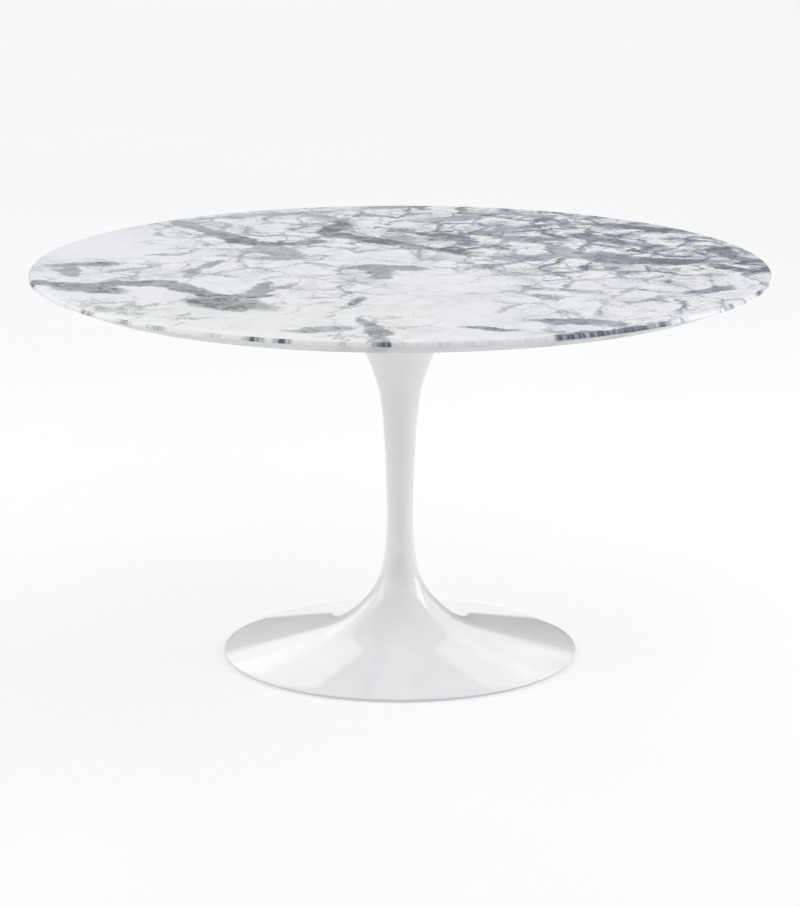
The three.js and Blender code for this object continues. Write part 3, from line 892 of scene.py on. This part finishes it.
# ---------------------------------------------------------------------------------------------
# Clamp. Under the web, a thick turned washer, a split spring washer and a hexagon nut pull the
# rod tight, so that the stone and the casting are one.
WASHER_EDGE = 0.0008
WASHER_STEPS = 96
ROD_CLEARANCE = 0.00075
SPLIT = 14.0
SPRING_TWIST = 0.0011
SPRING_INSET = 0.0001
SPRING_EDGE = 0.0004
SPRING_STEPS = 60
HEX_EDGE = 0.0009
BLANK_OVERRUN = 0.0002
BLANK_STEPS = 72
NUT_GAP = 0.0001

washer_low, washer_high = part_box("base_washer")
washer_radius = washer_high[0]
washer_bore = rod_radius + ROD_CLEARANCE
washer_outline = [
    (washer_bore, washer_low[2] + WASHER_EDGE / 2.0),
    (washer_bore + WASHER_EDGE / 2.0, washer_low[2]),
    (washer_radius - WASHER_EDGE, washer_low[2]),
    *arc((washer_radius - WASHER_EDGE, washer_low[2] + WASHER_EDGE), WASHER_EDGE, -60.0, 0.0, 3),
    *arc((washer_radius - WASHER_EDGE, washer_high[2] - WASHER_EDGE), WASHER_EDGE, 0.0, 60.0, 3),
    (washer_radius - WASHER_EDGE, washer_high[2]),
    (washer_bore + WASHER_EDGE / 2.0, washer_high[2]),
    (washer_bore, washer_high[2] - WASHER_EDGE / 2.0),
    (washer_bore, washer_low[2] + WASHER_EDGE / 2.0),
]
washer = turned("clamp_washer", washer_outline, WASHER_STEPS)
smooth(washer, 25.0)
washer.data.materials.append(zinc)
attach(washer, "table")
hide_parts("base_washer")

# The spring washer is a rectangular section carried round almost a whole turn, rising as it goes.
spring_low, spring_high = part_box("spring_washer")
spring_inner = rod_radius + ROD_CLEARANCE / 2.0
spring_width = abs(spring_low[0]) - spring_inner - SPRING_INSET
spring_height = spring_high[2] - spring_low[2]
spring_middle = spring_inner + spring_width / 2.0
spring_level = (spring_low[2] + spring_high[2] - SPRING_TWIST) / 2.0
half_split = math.radians(SPLIT / 2.0)
spring_start = (spring_middle * math.cos(half_split), spring_middle * math.sin(half_split), spring_level)
bpy.ops.object.select_all(action="DESELECT")
bpy.ops.mesh.primitive_plane_add(size=1.0)
spring = bpy.context.object
spring.name = "split_spring_washer"
bpy.ops.object.mode_set(mode="EDIT")
bpy.ops.mesh.select_all(action="SELECT")
bpy.ops.transform.resize(value=(spring_width, spring_height - SPRING_TWIST, 1.0))
bpy.ops.transform.rotate(value=math.pi / 2.0, orient_axis="X", center_override=(0.0, 0.0, 0.0))
bpy.ops.transform.rotate(value=half_split, orient_axis="Z", center_override=(0.0, 0.0, 0.0))
bpy.ops.transform.translate(value=spring_start)
almost_round = math.radians(360.0 - SPLIT)
bpy.ops.mesh.spin(steps=SPRING_STEPS, angle=almost_round, center=(0.0, 0.0, 0.0), axis=(0.0, 0.0, 1.0))
bpy.ops.mesh.select_all(action="SELECT")
bpy.ops.mesh.remove_doubles(threshold=0.00001)
bpy.ops.mesh.normals_make_consistent(inside=False)
bpy.ops.object.mode_set(mode="OBJECT")
for vertex in spring.data.vertices:
    share = (math.atan2(vertex.co.y, vertex.co.x) % (2.0 * math.pi)) / (2.0 * math.pi)
    vertex.co.z += SPRING_TWIST * share
edge = spring.modifiers.new("rolled_edge", "BEVEL")
edge.width = SPRING_EDGE
edge.segments = 2
edge.limit_method = "ANGLE"
bpy.ops.object.modifier_apply(modifier=edge.name)
smooth(spring, 35.0)
spring.data.materials.append(zinc)
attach(spring, "table")
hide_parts("spring_washer")


def hexagon_nut(name, across_corners, bore, low, high):
    """A nut as it is made: a hexagon bar, its corners turned off on a cone, and a bore."""
    bpy.ops.object.select_all(action="DESELECT")
    middle = (0.0, 0.0, (low + high) / 2.0)
    radius = across_corners / 2.0
    bpy.ops.mesh.primitive_cylinder_add(vertices=6, radius=radius, depth=high - low, location=middle)
    nut = bpy.context.object
    nut.name = name
    bpy.ops.object.transform_apply(location=True, rotation=False, scale=False)
    flats = radius * math.cos(math.pi / 6.0)
    blank_outline = [
        (bore, low + HEX_EDGE / 2.0),
        (bore + HEX_EDGE / 2.0, low),
        (flats - HEX_EDGE / 2.0, low),
        (radius + BLANK_OVERRUN, low + HEX_EDGE + BLANK_OVERRUN),
        (radius + BLANK_OVERRUN, high - HEX_EDGE - BLANK_OVERRUN),
        (flats - HEX_EDGE / 2.0, high),
        (bore + HEX_EDGE / 2.0, high),
        (bore, high - HEX_EDGE / 2.0),
        (bore, low + HEX_EDGE / 2.0),
    ]
    combined(nut, turned("blank", blank_outline, BLANK_STEPS), "INTERSECT")
    smooth(nut, 25.0)
    return nut


nut_low, nut_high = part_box("rod_nut")
nut = hexagon_nut("clamp_nut", 2.0 * nut_high[1], rod_radius + NUT_GAP, nut_low[2], nut_high[2])
nut.data.materials.append(zinc)
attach(nut, "table")
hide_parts("rod_nut")

# ---------------------------------------------------------------------------------------------
# Levelling glides. Four moulded nylon pads, each snapped on the ball of a steel stud that
# screws into a boss under the skirt and is turned by a thin hexagon collar.
PAD_ROUND = 0.0012
PAD_FLAT = 0.002
PAD_FLOOR = 0.0020
PAD_STEPS = 72
GROOVE_WALL = 0.0016
GROOVE_WIDTH = 0.0026
GROOVE_TAPER = 0.0006
GROOVE_DEPTH = 0.0007
SOCKET_LIP = 0.0003
SNAP_LAND = 0.0008
SNAP_END = 0.0013
BALL_GAP = 0.0002
BALL_LEDGE = 0.0008
COLLAR_FLATS = 0.013
COLLAR_CORE = 0.0006
STUD_RADIUS = 0.004
STUD_PITCH = 0.00125
STUD_THREAD_DEPTH = 0.0007
STUD_TIP = 0.001
STUD_STEPS = 40
CORNERS = {
    "front_left": (-1, -1),
    "front_right": (1, -1),
    "back_left": (-1, 1),
    "back_right": (1, 1),
}

stud_low, stud_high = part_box("glide_stud_front_right")
pad_radius = (pad_high[0] - pad_low[0]) / 2.0
pad_height = pad_high[2]
ball_radius = STUD_RADIUS + BALL_LEDGE
ball_waist = STUD_RADIUS - BALL_LEDGE
collar_low = pad_height + BALL_GAP
collar_high = BOSS_LOW - BALL_GAP


def nylon_finish():
    """Grey glass-filled nylon: a matt moulded skin with pale fibre flecks and scuffs."""
    nylon = Finish(bpy.data.materials.new("grey_nylon"))
    place = nylon.place()
    flecks = nylon.noise(place, 700.0, 3.0, 0.8).rising(0.55, 0.75)
    scuffs = nylon.noise(place, 90.0, 6.0, 0.7).rising(0.50, 0.80)
    colour = nylon.blend(flecks * 0.5 + scuffs * 0.4, (0.060, 0.060, 0.064, 1.0), (0.17, 0.17, 0.175, 1.0))
    skin = nylon.noise(place, 1400.0, 2.0)
    return nylon.surface(
        Base_Color=colour,
        Roughness=scuffs * 0.15 + skin * 0.1 + 0.42,
        Normal=nylon.bump(skin, 0.0001, 0.35),
    )


socket = ball_radius + BALL_GAP
neck = ball_waist + BALL_GAP
groove_inner = socket + GROOVE_WALL
groove_outer = groove_inner + GROOVE_WIDTH
pad_outline = [
    (0.0, 0.0),
    (pad_radius - PAD_ROUND - PAD_FLAT, 0.0),
    *arc((pad_radius - PAD_ROUND, PAD_ROUND), PAD_ROUND, -90.0, 0.0, 5),
    *arc((pad_radius - PAD_ROUND, pad_height - PAD_ROUND), PAD_ROUND, 0.0, 90.0, 5),
    (groove_outer, pad_height),
    (groove_outer - GROOVE_TAPER, pad_height - GROOVE_DEPTH),
    (groove_inner + GROOVE_TAPER, pad_height - GROOVE_DEPTH),
    (groove_inner, pad_height),
    (neck + SOCKET_LIP, pad_height),
    (neck, pad_height - SOCKET_LIP),
    (neck, pad_height - SNAP_LAND),
    (socket, pad_height - SNAP_END),
    (socket, PAD_FLOOR),
    (0.0, PAD_FLOOR),
]
pad = turned("moulded_pad", pad_outline, PAD_STEPS)
smooth(pad, 30.0)
pad.data.materials.append(nylon_finish())

stud_turns = int((stud_high[2] - collar_high - STUD_TIP) / STUD_PITCH)
stud_outline = [
    (0.0, stud_low[2]),
    (ball_radius - BALL_LEDGE, stud_low[2]),
    *arc((ball_radius - BALL_LEDGE, stud_low[2] + BALL_LEDGE), BALL_LEDGE, -60.0, 60.0, 6),
    (ball_waist, stud_low[2] + 2.0 * BALL_LEDGE),
    (ball_waist, collar_low),
    (STUD_RADIUS + COLLAR_CORE, collar_low),
    (STUD_RADIUS + COLLAR_CORE, collar_high),
    *thread(STUD_RADIUS, STUD_THREAD_DEPTH, STUD_PITCH, collar_high, stud_turns),
    (STUD_RADIUS - STUD_THREAD_DEPTH, stud_high[2]),
    (0.0, stud_high[2]),
]
stud = turned("screwed_stud", stud_outline, STUD_STEPS)
collar_corners = COLLAR_FLATS / math.cos(math.pi / 6.0)
collar = hexagon_nut("collar", collar_corners, STUD_RADIUS, collar_low, collar_high)
combined(stud, collar, "UNION")
smooth(stud, 25.0)
stud.data.materials.clear()
stud.data.materials.append(zinc_finish("zinc_steel_stud", lathe_turned=True))

for corner, (x_sign, y_sign) in CORNERS.items():
    place = (x_sign * glide_offset, y_sign * glide_offset, 0.0)
    corner_pad = placed(pad, f"pad_{corner}_moulded", place)
    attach(corner_pad, f"pad_{corner}")
    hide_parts(f"glide_pad_{corner}")
    corner_stud = placed(stud, f"stud_{corner}_screwed", place)
    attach(corner_stud, f"stud_{corner}")
    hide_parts(f"glide_stud_{corner}")
bpy.data.objects.remove(pad)
bpy.data.objects.remove(stud)
